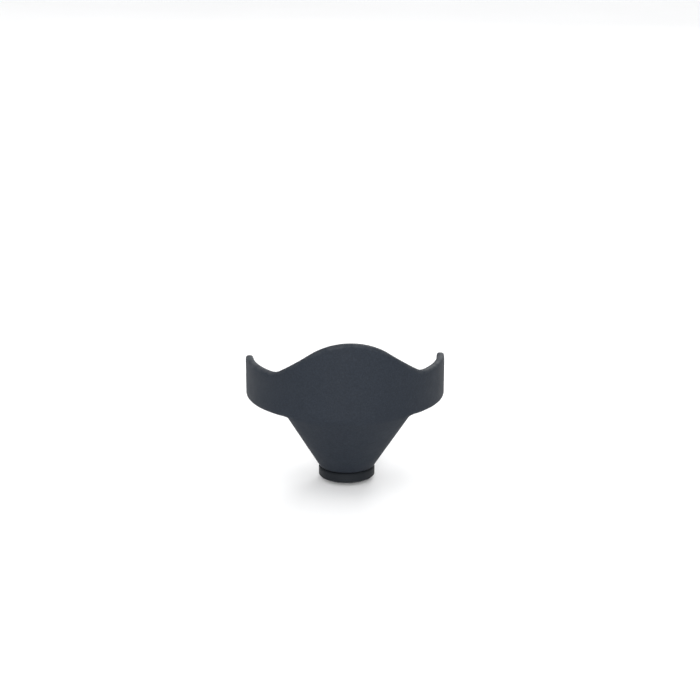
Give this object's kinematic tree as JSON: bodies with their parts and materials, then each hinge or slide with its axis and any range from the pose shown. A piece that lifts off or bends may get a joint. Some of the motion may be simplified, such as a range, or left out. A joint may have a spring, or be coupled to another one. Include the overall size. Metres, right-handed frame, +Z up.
{
  "type": "trailer coupler lock",
  "caption": "Trailer coupler lock: a shielded guard hooks over the coupler's nose while a keyed, sliding ball locks into its socket.",
  "frame": {"origin": "centre of the lock's ball when it is raised into the coupler's socket", "axes": "+Z up along the plunger, -Y towards the front of the shield, +X to the right seen from behind the shield's front"},
  "size_m": [0.15, 0.0956, 0.1186],
  "materials": {
    "guard_coat": "satin powder coat",
    "sleeve_black": "blackened steel",
    "hard_steel": "ground",
    "ball_steel": "bright plated",
    "screw_steel": "zinc plated",
    "cylinder_brass": "machined",
    "spring_steel": "drawn wire",
    "cover_steel": "stamped, satin",
    "seal_rubber": "matte"
  },
  "bodies": {
    "guard": {"guard_casting": "guard_coat", "wear_plate": "hard_steel", "plate_screws": "screw_steel", "locking_sleeve": "sleeve_black", "sleeve_o_ring": "seal_rubber", "guide_screw": "screw_steel"},
    "plunger": {"socket_ball": "ball_steel", "ball_stud": "screw_steel", "ball_pin": "screw_steel", "stud_pin": "screw_steel", "plunger_barrel": "hard_steel", "cylinder_shell": "cylinder_brass", "anti_drill_pin_1": "hard_steel", "anti_drill_pin_2": "hard_steel", "shell_screw": "screw_steel", "cover_washer": "cover_steel", "cover_rivet": "screw_steel"},
    "plug": {"cylinder_plug": "cylinder_brass", "lock_cam": "hard_steel", "cam_screw": "screw_steel", "wafer_spring_1": "spring_steel", "wafer_spring_2": "spring_steel", "wafer_spring_3": "spring_steel", "wafer_spring_4": "spring_steel", "wafer_spring_5": "spring_steel"},
    "wafers": {"wafer_1": "cylinder_brass", "wafer_2": "cylinder_brass", "wafer_3": "cylinder_brass", "wafer_4": "cylinder_brass", "wafer_5": "cylinder_brass"},
    "left_ball": {"locking_ball_left": "ball_steel"},
    "right_ball": {"locking_ball_right": "ball_steel"},
    "cover": {"dust_cover": "cover_steel"}
  },
  "joints": [
    {"name": "guard_slide", "type": "slide", "parent": "plunger", "child": "guard", "axis": [0, 0, 1], "range_m": [0, 0.028]},
    {"name": "plug_turn", "type": "hinge", "parent": "plunger", "child": "plug", "pos_m": [0, 0, -0.066], "axis": [0, 0, 1], "range_deg": [0, 90]},
    {"name": "wafer_slide", "type": "slide", "parent": "plug", "child": "wafers", "axis": [0, 1, 0], "range_m": [0, 0.0008], "deforming": ["wafer_spring_1", "wafer_spring_2", "wafer_spring_3", "wafer_spring_4", "wafer_spring_5"]},
    {"name": "left_ball_slide", "type": "slide", "parent": "plunger", "child": "left_ball", "axis": [-1, 0, 0], "range_m": [0, 0.0029]},
    {"name": "right_ball_slide", "type": "slide", "parent": "plunger", "child": "right_ball", "axis": [1, 0, 0], "range_m": [0, 0.0029]},
    {"name": "cover_swing", "type": "hinge", "parent": "plunger", "child": "cover", "pos_m": [0, 0.0123, -0.0785], "axis": [0, 0, 1], "range_deg": [0, 120]}
  ],
  "couplings": [
    {"joint": "left_ball_slide", "follows": "plug_turn", "m_per_rad": 0.001846},
    {"joint": "right_ball_slide", "follows": "plug_turn", "m_per_rad": 0.001846}
  ]
}
